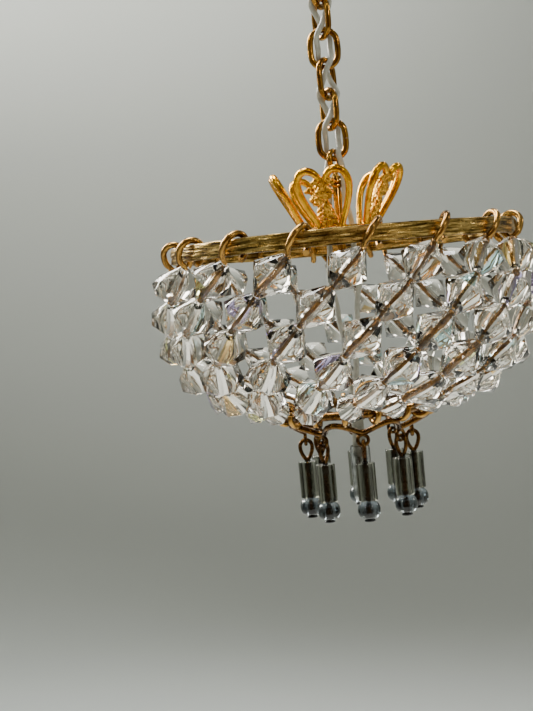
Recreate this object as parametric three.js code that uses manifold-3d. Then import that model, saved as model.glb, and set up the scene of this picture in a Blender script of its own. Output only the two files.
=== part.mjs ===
// Miniature crystal chandelier for a dolls' house, in millimetres, +Z up.
// The origin is the centre of the ceiling plate's flat top face, and everything hangs below it.
import * as THREE from 'three';
import { mergeVertices } from 'three/addons/utils/BufferGeometryUtils.js';
import Module from 'manifold-3d';

const wasm = await Module();
wasm.setup();

// ---------------------------------------------------------------- driving dimensions
const GAP = 0.3; // clearance left between pieces that touch on the real object

const PLATE_RADIUS = 8.5;
const PLATE_THICKNESS = 1.0;
const CUP_RADIUS = 8.0;
const CUP_HEIGHT = 5.0;
const CUP_WALL = 0.7;
const NECK_RADIUS = 3.6; // flat underside of the canopy cup
const NECK_HOLE_RADIUS = 2.3;

const CHAIN_WIRE = 0.45; // wire radius of the chain links and of the hook
const LINK_HALF_WIDTH = 1.95; // link centreline, from the middle to a leg
const LINK_HALF_LENGTH = 2.7; // link centreline, from the middle to an end
const LINK_COUNT = 6;
const LINK_TURN = 60; // degrees that each link is turned from the one above
const LINK_CLEARANCE = 0.2;
const HOOK_RADIUS = 1.7;
const HOOK_SHANK = 0.65; // room between the canopy and the hook's ring

const EYE_RADIUS = 1.25; // loop on top of the centre pin
const EYE_WIRE = 0.4;
const PIN_RADIUS = 0.6;
const PIN_CLEARANCE = 0.2; // round the pin, in the hub and in the ball
const EYE_ABOVE_RIM = 11.8;

const FLEX_RADIUS = 0.4; // one insulated core of the lighting flex
const FLEX_SIDES = 8;
const FLEX_WIDE = 1.3; // distance from the chain's axis where two links meet
const FLEX_NARROW = 0.85; // distance from the chain's axis inside a link
const FLEX_BREAK = 0.5; // gap in the flex at each swinging joint
const FLEX_CLEARANCE = 0.25; // round each core, in the hub
const FLEX_START = 1.0; // below the top of the canopy cup
const FLEX_START_AZIMUTH = 90; // degrees from +X towards +Y, as in all the flex's knots
const FLEX_BESIDE_HOOK = 1.2; // distance from the axis
const FLEX_HOOK_TURN = 6; // degrees turned beside the hook
const FLEX_LAST_TURN = 30; // degrees turned between the last link and the centre pin's eye

const RIM_RADIUS = 24.0;
const RIM_HEIGHT = 2.2;
const RIM_THICKNESS = 1.0;

const CROWN_PETALS = 5;
const CROWN_BASE_RADIUS = 5.9;
const CROWN_BASE_HOLE = 3.3;
const CROWN_THICKNESS = 0.9;
const CROWN_TILT = 27; // degrees that a petal leans outwards
const CROWN_FIRST_PETAL = -13; // degrees from the front
const PETAL_ROOT = [1.75, -0.4]; // one lower corner of a petal, sideways and up from its foot
const PETAL_SIDE = [ // up from that corner to the notch: curves of two handles and an end
  [[2.4, 2.4], [4.15, 4.2], [4.15, 6.9]],
  [[4.15, 9.9], [1.0, 10.0], [0, 8.3]],
];
const PANE_CORNER = [1.2, 3.0]; // lowest corner of the opening on one side of a petal
const PANE_SIDE = [
  [[2.4, 4.2], [3.1, 5.4], [3.1, 6.9]],
  [[3.1, 8.2], [1.9, 8.5], [1.2, 7.8]],
];

const HUB_TOP = 1.2; // the spider's hub and arms, from the rim
const HUB_BOTTOM = 0.3;
const ARM_WIDTH = 1.8;
const ARM_TURN = 3; // degrees past the middle between two strands, clear of their loops

const STRAND_COUNT = 16;
const FIRST_STRAND = -16.5; // degrees from the front, where its first bead starts
const STRAND_WIRE = 0.45;
const BOWL_RADIUS = 25.55; // widest radius of the bowl that the strands lie on
const BOWL_MIDDLE = -8.6; // height of the widest place, from the rim
const BOWL_UPPER = { height: 14.8, power: 2.6 };
const BOWL_LOWER = { height: 16.2, power: 2.3 };
const STRAND_TOP = -1.9; // height where the first bead starts, from the rim
const BEADS = [ // down one strand: length along the wire, radius, lean from straight down in degrees
  { pitch: 6.35, radius: 3.0, lean: 42 },
  { pitch: 6.35, radius: 3.0, lean: 46 },
  { pitch: 6.35, radius: 3.0, lean: 45 },
  { pitch: 6.35, radius: 3.0, lean: 38 },
  { pitch: 6.2, radius: 2.75, lean: 33 },
  { pitch: 4.4, radius: 2.1, lean: 27 },
];
const BEAD_TIP = 0.85;
const TOP_LOOP = { // over the rim; angles are from outwards, through upwards
  height: 0.3, wide: 1.45, above: 1.4, below: 2.1, from: 255, to: -45, wire: STRAND_WIRE,
};
const TOP_LEAN = 22; // degrees that the wire leans where it goes up to its loop
const BOTTOM_LOOP = { // round the lower ring
  height: -23.9, wide: 1.25, above: 1.25, below: 1.25, from: 20, to: -265, wire: 0.4,
};
const LOOP_DRIFT = 2.2; // sideways room between the two ends of a top loop
const RING_DRIFT = 1.0; // and of a bottom loop

const RING_RADIUS = 10.4; // ring that closes the bowl
const RING_WIRE = 0.6;
const RING_HEIGHT = BOTTOM_LOOP.height;

const SCALLOPS = 8; // one pendant hangs from each inward bend
const SCALLOP_RADIUS = 9.0;
const SCALLOP_SWING = 1.3;
const SCALLOP_WIRE = 0.42;
const SCALLOP_HEIGHT = -25.95; // from the rim
const SCALLOP_RISE = 0.7;
const EYELET_RADIUS = 0.75;
const EYELET_WIRE = 0.25;
const EYELET_BITE = 0.1; // how far an eyelet sinks into the scalloped ring's wire

const LOOP_WIRE = 0.3; // pendant loop and pin
const LOOP_HALF_WIDTH = 1.1;
const LOOP_HALF_HEIGHT = 1.4;
const LOOP_TAPER = 0.25; // share of its width that the loop gains at the top and loses below
const LOOP_PLAY = 0.1; // between the loop and its eyelet
const LOOP_NECK = 0.25; // between the loop and the tube
const TUBE_RADIUS = 1.35;
const TUBE_LENGTH = 5.4;
const TUBE_BORE = 0.5;
const TUBE_CHAMFER = 0.2;
const SEED_RADIUS = 1.6;
const SEED_HEIGHT = 2.4;
const SEED_LIP = 0.4; // flat ring round the seed bead's bore
const HEAD_RADIUS = 0.8;
const HEAD_HEIGHT = 0.35;
const HEAD_GAP = 0.1;

const BALL_RADIUS = 1.7;
const BALL_BELOW_RIM = 4.7;
const SOCKET_ROOM = 0.4; // between the pin's end and the floor of its hole in the ball

const FLEX_TO_LAMP = [ // heights from the rim and distances from the axis, from the eye down
  [6.8, 1.3],
  [2, 2.0],
  [-0.5, 2.0],
  [-BALL_BELOW_RIM, 2.45],
  [-10, 1.6],
  [-16, 0.7],
];
const FLEX_AT_SLEEVE = 0.5; // distance from the axis

const SLEEVE_RADIUS = 1.0;
const SLEEVE_TOP = -20.5; // from the rim
const SLEEVE_BOTTOM = -30.9;
const BULB_RADIUS = 1.45;
const BULB_WALL = 0.22;
const BULB_TOP = -29.3;
const BULB_BOTTOM = -37.7;
const FILAMENT_WIRE = 0.22;
const FILAMENT_SPREAD = 0.5; // from the axis to one lead
const FILAMENT_LEAD = 2.5; // length of the leads
const FILAMENT_DROP = 3.6; // from the sleeve to the lowest point

// ---------------------------------------------------------------- heights from the ceiling
const CUP_TOP = -PLATE_THICKNESS - GAP;
const CUP_BOTTOM = CUP_TOP - CUP_HEIGHT;
const HOOK_CENTRE = CUP_BOTTOM - GAP - HOOK_SHANK - HOOK_RADIUS;
const HOOK_PIVOT = HOOK_CENTRE - HOOK_RADIUS;
const LINK_PITCH = 2 * LINK_HALF_LENGTH - 2 * CHAIN_WIRE - LINK_CLEARANCE;
const FIRST_LINK = HOOK_PIVOT + 2 * CHAIN_WIRE + LINK_CLEARANCE - LINK_HALF_LENGTH;
const linkCentre = (index) => FIRST_LINK - (index - 1) * LINK_PITCH;
const linkPivot = (index) => (index === 0 ? HOOK_PIVOT : linkCentre(index) - LINK_HALF_LENGTH);
const FIRST_MEETING = HOOK_PIVOT + CHAIN_WIRE + LINK_CLEARANCE / 2;
const EYE_TOP = linkPivot(LINK_COUNT) + CHAIN_WIRE + EYE_WIRE + LINK_CLEARANCE;
const EYE_CENTRE = EYE_TOP - EYE_RADIUS;
const RIM = EYE_CENTRE - EYE_ABOVE_RIM;

// ---------------------------------------------------------------- materials
const metal = (color, roughness) => new THREE.MeshStandardMaterial({ color, roughness, metalness: 1 });
const glassy = (color, roughness) => new THREE.MeshStandardMaterial({ color, roughness, metalness: 0 });
const paleGold = metal('#c9a24a', 0.35);
const chainGold = metal('#8a5a20', 0.25);
const crownGold = metal('#d99a1c', 0.25);
const antiqueGold = metal('#a58b3c', 0.45);
const darkGold = metal('#7a5c1e', 0.4);
const crystal = glassy('#e6e2da', 0.05);
const smokyGlass = glassy('#4d5358', 0.1);
const clearGlass = glassy('#dfe6e6', 0.05);
const flexPlastic = glassy('#c4c3b6', 0.5);
const sleevePlastic = glassy('#8f918a', 0.6);
const tungsten = metal('#30302e', 0.5);

const group = new THREE.Group();

function add(name, geometry, material) {
  const mesh = new THREE.Mesh(geometry, material);
  mesh.name = name;
  group.add(mesh);
  return mesh;
}

// ---------------------------------------------------------------- geometry helpers
const radians = THREE.MathUtils.degToRad;

// Unit vector at an angle from the front, which is -Y; positive angles turn towards +X.
function outward(degrees) {
  return new THREE.Vector3(Math.sin(radians(degrees)), -Math.cos(radians(degrees)), 0);
}

function sideways(degrees) {
  return new THREE.Vector3(Math.cos(radians(degrees)), Math.sin(radians(degrees)), 0);
}

function at(degrees, radius, height) {
  return outward(degrees).multiplyScalar(radius).setZ(height);
}

function toSolid(geometry) {
  const bare = geometry.clone();
  bare.deleteAttribute('normal');
  bare.deleteAttribute('uv');
  const merged = mergeVertices(bare, 1e-4);
  return new wasm.Manifold(new wasm.Mesh({
    numProp: 3,
    vertProperties: new Float32Array(merged.attributes.position.array),
    triVerts: new Uint32Array(merged.index.array),
  }));
}

function toGeometry(solid) {
  const mesh = solid.getMesh();
  const geometry = new THREE.BufferGeometry();
  geometry.setAttribute('position', new THREE.BufferAttribute(mesh.vertProperties, 3));
  geometry.setIndex(new THREE.BufferAttribute(mesh.triVerts, 1));
  geometry.computeVertexNormals();
  return geometry;
}

function joined(first, ...others) {
  const solid = others.reduce((sum, piece) => sum.add(toSolid(piece)), toSolid(first));
  return toGeometry(solid);
}

function cut(first, ...others) {
  const solid = others.reduce((rest, piece) => rest.subtract(toSolid(piece)), toSolid(first));
  return toGeometry(solid);
}

// A solid turned about the vertical axis from [radius, height] pairs.
function turned(profile, segments) {
  const points = profile.map(([radius, height]) => new THREE.Vector2(radius, height));
  return new THREE.LatheGeometry(points, segments).rotateX(Math.PI / 2);
}

function post(radius, top, bottom, sides) {
  const geometry = new THREE.CylinderGeometry(radius, radius, top - bottom, sides);
  return geometry.rotateX(Math.PI / 2).translate(0, 0, (top + bottom) / 2);
}

// An upright ring of round wire in the XZ plane. Its upper half is raised by stretch and its
// lower half is lowered by as much, which makes a circle a link.
function uprightRing(radius, wire, sides, steps, stretch = 0) {
  const geometry = new THREE.TorusGeometry(radius, wire, sides, steps).rotateZ(Math.PI / steps);
  const position = geometry.attributes.position;
  for (let i = 0; i < position.count; i += 1) {
    const y = position.getY(i);
    position.setY(i, y + Math.sign(y) * stretch);
  }
  return geometry.rotateX(Math.PI / 2);
}

// A round tube along a list of points.
function tube(points, radius, sides, steps) {
  const section = new THREE.Shape();
  for (let i = 0; i < sides; i += 1) {
    const angle = (2 * Math.PI * i) / sides;
    const corner = [radius * Math.cos(angle), radius * Math.sin(angle)];
    if (i === 0) section.moveTo(...corner);
    else section.lineTo(...corner);
  }
  return new THREE.ExtrudeGeometry(section, {
    steps,
    extrudePath: new THREE.CatmullRomCurve3(points),
  });
}

// ---------------------------------------------------------------- ceiling canopy
function ceilingPlate() {
  return post(PLATE_RADIUS, 0, -PLATE_THICKNESS, 24);
}

function canopyCup() {
  const dome = 3;
  const outer = [];
  const inner = [];
  for (let i = 0; i <= dome; i += 1) {
    const angle = (i / dome) * (Math.PI / 2);
    const reach = CUP_RADIUS - NECK_RADIUS;
    outer.push([NECK_RADIUS + reach * Math.sin(angle), CUP_TOP - CUP_HEIGHT * Math.cos(angle)]);
    inner.push([
      NECK_RADIUS + (reach - CUP_WALL) * Math.sin(angle),
      CUP_TOP - (CUP_HEIGHT - CUP_WALL) * Math.cos(angle),
    ]);
  }
  const profile = [
    [NECK_HOLE_RADIUS, CUP_BOTTOM],
    ...outer,
    ...inner.reverse(),
    [NECK_HOLE_RADIUS, CUP_BOTTOM + CUP_WALL],
    [NECK_HOLE_RADIUS, CUP_BOTTOM],
  ];
  return turned(profile, 20);
}

// The hook's cross bar lies across the neck hole inside the cup, and its ring hangs below.
function canopyHook() {
  const barHeight = CUP_BOTTOM + CUP_WALL + GAP + CHAIN_WIRE;
  const ring = uprightRing(HOOK_RADIUS, CHAIN_WIRE, 6, 14).translate(0, 0, HOOK_CENTRE);
  const shank = post(CHAIN_WIRE, barHeight, HOOK_CENTRE + HOOK_RADIUS, 6);
  const bar = new THREE.CylinderGeometry(CHAIN_WIRE, CHAIN_WIRE, 2 * NECK_RADIUS - 2 * GAP, 6);
  bar.rotateZ(Math.PI / 2).translate(0, 0, barHeight);
  return joined(ring, shank, bar);
}

add('ceiling_plate', ceilingPlate(), paleGold);
add('canopy_cup', canopyCup(), paleGold);
add('canopy_hook', canopyHook(), chainGold);

// ---------------------------------------------------------------- chain
for (let index = 1; index <= LINK_COUNT; index += 1) {
  const stretch = LINK_HALF_LENGTH - LINK_HALF_WIDTH;
  const link = uprightRing(LINK_HALF_WIDTH, CHAIN_WIRE, 6, 14, stretch);
  const mesh = add(`chain_link_${index}`, link, chainGold);
  mesh.position.z = linkCentre(index);
  mesh.rotation.z = radians(LINK_TURN * index);
}

// ---------------------------------------------------------------- lighting flex
// Its two cores wind through the chain, one third of a turn backwards for each link, so that
// each passes through every link. Each knot is [height, distance from the axis, azimuth].
function flexKnots() {
  const start = FLEX_START_AZIMUTH;
  const knots = [
    [CUP_TOP - FLEX_START, FLEX_WIDE, start],
    [HOOK_CENTRE + HOOK_RADIUS, FLEX_BESIDE_HOOK, start],
    [HOOK_CENTRE, FLEX_BESIDE_HOOK, start + FLEX_HOOK_TURN],
  ];
  const turn = 180 - LINK_TURN;
  for (let index = 0; index <= LINK_COUNT; index += 1) {
    const height = FIRST_MEETING - index * LINK_PITCH;
    const azimuth = turn - turn * index;
    knots.push([height, FLEX_WIDE, azimuth]);
    if (index < LINK_COUNT) {
      knots.push([height - LINK_PITCH / 2, FLEX_NARROW, azimuth - turn / 2]);
    }
  }
  const last = turn - turn * LINK_COUNT + FLEX_LAST_TURN;
  knots.push([EYE_CENTRE - EYE_RADIUS, FLEX_WIDE, last]);
  for (const [height, reach] of FLEX_TO_LAMP) knots.push([RIM + height, reach, last]);
  knots.push([RIM + SLEEVE_TOP + GAP, FLEX_AT_SLEEVE, last]);
  return knots;
}

const FLEX_KNOTS = flexKnots();
const FLEX_TOP = FLEX_KNOTS[0][0];
const FLEX_BOTTOM = FLEX_KNOTS.at(-1)[0];

function flexPoint(height, side) {
  let upper = 0;
  while (upper < FLEX_KNOTS.length - 2 && FLEX_KNOTS[upper + 1][0] > height) upper += 1;
  const [topHeight, topReach, topTurn] = FLEX_KNOTS[upper];
  const [lowHeight, lowReach, lowTurn] = FLEX_KNOTS[upper + 1];
  const share = (topHeight - height) / (topHeight - lowHeight);
  const eased = share * share * (3 - 2 * share);
  const reach = topReach + (lowReach - topReach) * eased;
  const angle = radians(topTurn + (lowTurn - topTurn) * share + side);
  return new THREE.Vector3(reach * Math.cos(angle), reach * Math.sin(angle), height);
}

function flexPiece(top, bottom, side, steps) {
  const points = [];
  for (let i = 0; i <= steps; i += 1) {
    points.push(flexPoint(top + ((bottom - top) * i) / steps, side));
  }
  return tube(points, FLEX_RADIUS, FLEX_SIDES, steps);
}

const FLEX_STRETCHES = [ // name, upper end, lower end, steps
  ['canopy', FLEX_TOP, linkPivot(0) + FLEX_BREAK / 2, 9],
  ['chain', linkPivot(0) - FLEX_BREAK / 2, linkPivot(LINK_COUNT - 1) + FLEX_BREAK / 2, 24],
  ['link', linkPivot(LINK_COUNT - 1) - FLEX_BREAK / 2, linkPivot(LINK_COUNT) + FLEX_BREAK / 2, 5],
  ['lamp', linkPivot(LINK_COUNT) - FLEX_BREAK / 2, FLEX_BOTTOM, 18],
];
for (const [core, side] of [['a', 0], ['b', 180]]) {
  for (const [stretch, top, bottom, steps] of FLEX_STRETCHES) {
    add(`flex_${core}_${stretch}`, flexPiece(top, bottom, side, steps), flexPlastic);
  }
}

// ---------------------------------------------------------------- centre pin, ball and crown
function centrePin() {
  const eye = uprightRing(EYE_RADIUS, EYE_WIRE, 6, 12);
  eye.rotateZ(radians(LINK_TURN * (LINK_COUNT + 1))).translate(0, 0, EYE_CENTRE);
  const end = RIM - BALL_BELOW_RIM + SOCKET_ROOM;
  return joined(eye, post(PIN_RADIUS, EYE_CENTRE - EYE_RADIUS, end, 8));
}

function pinBall() {
  const steps = 8;
  const socket = { radius: PIN_RADIUS + PIN_CLEARANCE, floor: RIM - BALL_BELOW_RIM };
  const lip = Math.acos(socket.radius / BALL_RADIUS);
  const profile = [[0, socket.floor], [socket.radius, socket.floor]];
  for (let i = 0; i <= steps; i += 1) {
    const angle = lip - ((lip + Math.PI / 2) * i) / steps;
    const radius = i === steps ? 0 : BALL_RADIUS * Math.cos(angle);
    profile.push([radius, RIM - BALL_BELOW_RIM + BALL_RADIUS * Math.sin(angle)]);
  }
  return turned(profile.reverse(), 12);
}

// One heart-shaped petal, upright in the XZ plane with its foot at the origin.
function petal() {
  const [rootX, rootY] = PETAL_ROOT;
  const heart = new THREE.Shape();
  heart.moveTo(-rootX, rootY);
  heart.lineTo(rootX, rootY);
  for (const [first, second, end] of PETAL_SIDE) heart.bezierCurveTo(...first, ...second, ...end);
  const back = [PETAL_ROOT, ...PETAL_SIDE.flat()].reverse().map(([x, y]) => [-x, y]);
  for (let i = 1; i < back.length; i += 3) {
    heart.bezierCurveTo(...back[i], ...back[i + 1], ...back[i + 2]);
  }
  for (const side of [-1, 1]) {
    const mirrored = ([x, y]) => [side * x, y];
    const pane = new THREE.Path();
    pane.moveTo(...mirrored(PANE_CORNER));
    for (const curve of PANE_SIDE) pane.bezierCurveTo(...curve.flatMap(mirrored));
    pane.lineTo(...mirrored(PANE_CORNER));
    heart.holes.push(pane);
  }
  const settings = { depth: CROWN_THICKNESS, bevelEnabled: false, curveSegments: 3 };
  const plate = new THREE.ExtrudeGeometry(heart, settings);
  return plate.translate(0, 0, -CROWN_THICKNESS / 2).rotateX(Math.PI / 2);
}

function crown() {
  const base = new THREE.Shape().absarc(0, 0, CROWN_BASE_RADIUS, 0, 2 * Math.PI);
  base.holes.push(new THREE.Path().absarc(0, 0, CROWN_BASE_HOLE, 0, 2 * Math.PI));
  const settings = { depth: CROWN_THICKNESS, bevelEnabled: false, curveSegments: 12 };
  const bottom = RIM + HUB_TOP + GAP;
  const pieces = [new THREE.ExtrudeGeometry(base, settings).translate(0, 0, bottom)];
  for (let index = 0; index < CROWN_PETALS; index += 1) {
    const azimuth = CROWN_FIRST_PETAL + (360 / CROWN_PETALS) * index;
    const leaf = petal().rotateX(radians(CROWN_TILT));
    leaf.translate(0, -CROWN_BASE_RADIUS + CROWN_THICKNESS, bottom + CROWN_THICKNESS / 2);
    pieces.push(leaf.rotateZ(radians(azimuth)));
  }
  return joined(...pieces);
}

add('centre_pin', centrePin(), crownGold);
add('pin_ball', pinBall(), crownGold);
add('crown', crown(), crownGold);

// ---------------------------------------------------------------- rim and its spider
function rimRing() {
  const inside = RIM_RADIUS - RIM_THICKNESS / 2;
  const outside = RIM_RADIUS + RIM_THICKNESS / 2;
  const top = RIM + RIM_HEIGHT / 2;
  const bottom = RIM - RIM_HEIGHT / 2;
  const profile = [
    [inside, bottom + GAP], [RIM_RADIUS, bottom], [outside, bottom + GAP],
    [outside, top - GAP], [RIM_RADIUS, top], [inside, top - GAP], [inside, bottom + GAP],
  ];
  return turned(profile, 48);
}

// A hub and four arms that carry the rim, with holes for the pin and for the flex's two cores.
function rimSpider() {
  const top = RIM + HUB_TOP;
  const bottom = RIM + HUB_BOTTOM;
  const hub = post(CROWN_BASE_RADIUS, top, bottom, 24);
  const reach = RIM_RADIUS - RIM_THICKNESS / 2 - GAP;
  const firstArm = FIRST_STRAND + 180 / STRAND_COUNT + ARM_TURN;
  const arms = [0, 90].map((turn) => {
    const bar = new THREE.BoxGeometry(ARM_WIDTH, 2 * reach, top - bottom);
    return bar.rotateZ(radians(firstArm + turn)).translate(0, 0, (top + bottom) / 2);
  });
  const drill = (radius) => post(radius, top + 1, bottom - 1, 10);
  const holes = [drill(PIN_RADIUS + PIN_CLEARANCE)];
  for (const side of [0, 180]) {
    const place = flexPoint(RIM, side);
    holes.push(drill(FLEX_RADIUS + FLEX_CLEARANCE).translate(place.x, place.y, 0));
  }
  return cut(joined(hub, ...arms), ...holes);
}

add('rim_ring', rimRing(), antiqueGold);
add('rim_spider', rimSpider(), antiqueGold);

// ---------------------------------------------------------------- crystal strands
function bowlRadius(height) {
  const half = height > BOWL_MIDDLE ? BOWL_UPPER : BOWL_LOWER;
  const share = Math.abs(height - BOWL_MIDDLE) / half.height;
  return BOWL_RADIUS * (1 - share ** half.power) ** (1 / half.power);
}

// The places where the beads of one strand meet, as azimuth, radius and height from the rim.
// Each bead goes down the bowl by its pitch times the cosine of its lean, and round it by the sine.
function beadEnds(azimuth) {
  const step = 0.01;
  const ends = [{ azimuth, radius: bowlRadius(STRAND_TOP), height: STRAND_TOP }];
  let height = STRAND_TOP;
  let turn = azimuth;
  for (const { pitch, lean } of BEADS) {
    let down = 0;
    while (down < pitch * Math.cos(radians(lean))) {
      const radius = bowlRadius(height);
      const change = bowlRadius(height - step) - radius;
      const length = Math.hypot(step, change);
      down += length;
      height -= step;
      turn -= THREE.MathUtils.radToDeg((length * Math.tan(radians(lean))) / radius);
    }
    ends.push({ azimuth: turn, radius: bowlRadius(height), height });
  }
  return ends;
}

// Stations of a wire loop: an oval about a radius, in the upright plane at an azimuth.
// shift(share, rise) moves each station sideways.
function loopStations(azimuth, radius, loop, steps, shift) {
  const stations = [];
  for (let i = 0; i <= steps; i += 1) {
    const angle = radians(loop.from + ((loop.to - loop.from) * i) / steps);
    const rise = (Math.sin(angle) > 0 ? loop.above : loop.below) * Math.sin(angle);
    const place = at(azimuth, radius + loop.wide * Math.cos(angle), RIM + loop.height + rise);
    place.addScaledVector(sideways(azimuth), shift(i / steps, rise));
    stations.push({ place, size: loop.wire, azimuth });
  }
  return stations;
}

function strandStations(azimuth) {
  const ends = beadEnds(azimuth);
  const lean = Math.tan(radians(TOP_LEAN));
  const stations = loopStations(azimuth, RIM_RADIUS, TOP_LOOP, 9, (share, rise) => (
    lean * (rise + TOP_LOOP.height - STRAND_TOP) + LOOP_DRIFT * (1 - share)
  ));
  ends.forEach((end, index) => {
    const place = at(end.azimuth, end.radius, RIM + end.height);
    if (index > 0) {
      const before = at(ends[index - 1].azimuth, ends[index - 1].radius, RIM + ends[index - 1].height);
      const middle = before.lerp(place, 0.5);
      const between = (end.azimuth + ends[index - 1].azimuth) / 2;
      stations.push({ place: middle, size: BEADS[index - 1].radius, azimuth: between });
    }
    stations.push({ place, size: BEAD_TIP, azimuth: end.azimuth });
  });
  const last = ends.at(-1).azimuth;
  stations.push(...loopStations(last, RING_RADIUS, BOTTOM_LOOP, 7, (share) => -RING_DRIFT * share));
  return stations;
}

const STRAND_END = beadEnds(FIRST_STRAND).at(-1).azimuth;

// One strand: wire and beads turned on a straight axis with one ring of corners for each
// station, and then each ring moved to its station's place.
function strand(azimuth) {
  const stations = strandStations(azimuth);
  const profile = stations.map(({ size }, index) => [size, index]);
  profile.unshift([0, 0]);
  profile.push([0, stations.length - 1]);
  const points = profile.map(([radius, height]) => new THREE.Vector2(radius, height));
  const geometry = new THREE.LatheGeometry(points, 6);
  const frames = stations.map(({ place, azimuth: turn }, index) => {
    const before = stations[Math.max(index - 1, 0)].place;
    const after = stations[Math.min(index + 1, stations.length - 1)].place;
    const along = after.clone().sub(before).normalize();
    const side = sideways(turn);
    side.addScaledVector(along, -side.dot(along)).normalize();
    return { place, side, across: along.clone().cross(side) };
  });
  const position = geometry.attributes.position;
  for (let i = 0; i < position.count; i += 1) {
    const { place, side, across } = frames[Math.round(position.getY(i))];
    const moved = place.clone();
    moved.addScaledVector(across, position.getX(i)).addScaledVector(side, position.getZ(i));
    position.setXYZ(i, moved.x, moved.y, moved.z);
  }
  geometry.computeVertexNormals();
  return geometry;
}

for (let index = 0; index < STRAND_COUNT; index += 1) {
  const azimuth = FIRST_STRAND + (360 / STRAND_COUNT) * index;
  const number = String(index + 1).padStart(2, '0');
  add(`crystal_strand_${number}`, strand(azimuth), crystal);
}

// ---------------------------------------------------------------- lower ring and scalloped ring
add('lower_ring', new THREE.TorusGeometry(RING_RADIUS, RING_WIRE, 6, 36), darkGold)
  .position.z = RIM + RING_HEIGHT;

const VALLEY_RADIUS = SCALLOP_RADIUS - SCALLOP_SWING;
const VALLEY_HEIGHT = RIM + SCALLOP_HEIGHT - SCALLOP_RISE;
const EYELET_CENTRE = VALLEY_HEIGHT - SCALLOP_WIRE - EYELET_RADIUS + EYELET_BITE;
const FIRST_PENDANT = STRAND_END - 180 / STRAND_COUNT; // midway between two strands
const pendantAzimuth = (index) => FIRST_PENDANT + (360 / SCALLOPS) * index;

// A wavy ring: its outer bends rise to the lower ring, and its inner bends dip to carry eyelets.
function scallopedRing() {
  const wave = new THREE.TorusGeometry(SCALLOP_RADIUS, SCALLOP_WIRE, 5, 6 * SCALLOPS);
  const position = wave.attributes.position;
  for (let i = 0; i < position.count; i += 1) {
    const angle = Math.atan2(position.getY(i), position.getX(i));
    const swing = -Math.cos(SCALLOPS * (angle + Math.PI / 2 - radians(FIRST_PENDANT)));
    position.setX(i, position.getX(i) + SCALLOP_SWING * swing * Math.cos(angle));
    position.setY(i, position.getY(i) + SCALLOP_SWING * swing * Math.sin(angle));
    position.setZ(i, position.getZ(i) + SCALLOP_RISE * swing);
  }
  wave.translate(0, 0, RIM + SCALLOP_HEIGHT);
  const eyelets = [];
  for (let index = 0; index < SCALLOPS; index += 1) {
    const eyelet = uprightRing(EYELET_RADIUS, EYELET_WIRE, 5, 8);
    eyelet.translate(0, -VALLEY_RADIUS, EYELET_CENTRE);
    eyelets.push(eyelet.rotateZ(radians(pendantAzimuth(index))));
  }
  return joined(wave, ...eyelets);
}

add('scalloped_ring', scallopedRing(), darkGold);

// ---------------------------------------------------------------- pendants
const EYELET_PIVOT = EYELET_CENTRE - EYELET_RADIUS;
const LOOP_TOP = EYELET_PIVOT + EYELET_WIRE + LOOP_WIRE + LOOP_PLAY;
const LOOP_CENTRE = LOOP_TOP - LOOP_HALF_HEIGHT;
const TUBE_TOP = LOOP_CENTRE - LOOP_HALF_HEIGHT - LOOP_NECK;
const SEED_TOP = TUBE_TOP - TUBE_LENGTH;
const SEED_BOTTOM = SEED_TOP - SEED_HEIGHT;

// The bent head pin: a pear-shaped loop in the plane that holds the radius, a shank, a head.
function pendantPin() {
  const loop = uprightRing(1, LOOP_WIRE, 5, 12);
  const position = loop.attributes.position;
  for (let i = 0; i < position.count; i += 1) {
    const x = position.getX(i);
    const z = position.getZ(i);
    const length = Math.hypot(x, z);
    const across = x / length;
    const up = z / length;
    const width = LOOP_HALF_WIDTH * (1 - LOOP_TAPER + LOOP_TAPER * up);
    position.setX(i, across * (width + length - 1));
    position.setZ(i, up * (LOOP_HALF_HEIGHT + length - 1));
  }
  loop.translate(0, 0, LOOP_CENTRE);
  const shank = post(LOOP_WIRE, LOOP_CENTRE - LOOP_HALF_HEIGHT, SEED_BOTTOM - GAP, 6);
  const headTop = SEED_BOTTOM - HEAD_GAP;
  const head = post(HEAD_RADIUS, headTop, headTop - HEAD_HEIGHT, 10);
  return joined(loop, shank, head);
}

// The glass tube and the round seed bead glued together under it, on one bore.
function pendantBeads() {
  const half = SEED_HEIGHT / 2;
  const lip = TUBE_BORE + SEED_LIP;
  const bulge = (share) => lip + (SEED_RADIUS - lip) * share;
  const profile = [
    [TUBE_BORE, SEED_BOTTOM], [bulge(0), SEED_BOTTOM], [bulge(0.8), SEED_BOTTOM + half * 0.4],
    [SEED_RADIUS, SEED_BOTTOM + half], [bulge(0.7), SEED_TOP - half * 0.3],
    [TUBE_RADIUS - TUBE_CHAMFER, SEED_TOP], [TUBE_RADIUS, SEED_TOP + TUBE_CHAMFER],
    [TUBE_RADIUS, TUBE_TOP], [TUBE_BORE, TUBE_TOP], [TUBE_BORE, SEED_BOTTOM],
  ];
  return turned(profile, 8);
}

for (let index = 0; index < SCALLOPS; index += 1) {
  const azimuth = pendantAzimuth(index);
  const centre = at(azimuth, VALLEY_RADIUS, 0);
  const pin = add(`pendant_pin_${index + 1}`, pendantPin(), darkGold);
  pin.position.copy(centre);
  pin.rotation.z = radians(azimuth + 90);
  const beads = add(`pendant_beads_${index + 1}`, pendantBeads(), smokyGlass);
  beads.position.copy(centre);
}

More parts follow.
